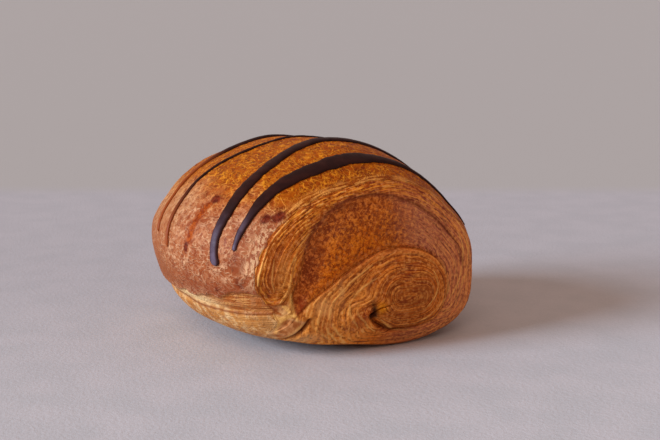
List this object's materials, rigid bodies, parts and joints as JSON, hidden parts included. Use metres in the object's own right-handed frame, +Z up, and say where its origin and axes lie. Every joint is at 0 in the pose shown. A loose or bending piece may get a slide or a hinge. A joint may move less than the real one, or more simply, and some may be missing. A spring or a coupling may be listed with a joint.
{
  "type": "pain au chocolat",
  "caption": "Rolled, laminated and baked pastry lying on its seam, with a spiral of fine leaves at each end and dark chocolate drizzled round the roll.",
  "frame": {"origin": "middle of the object's box, at the surface it rests on", "axes": "+X across the roll, to the right in the picture; +Y along the roll, away from the spiral end that faces the camera; +Z up"},
  "size_m": [0.0963, 0.0849, 0.0626],
  "materials": {
    "crust": "baked golden brown crust, dry and finely blistered, satin where it was egg washed",
    "chocolate": "dark chocolate, set with a soft sheen"
  },
  "bodies": {
    "root": {"pastry_roll": "crust"}
  },
  "joints": []
}
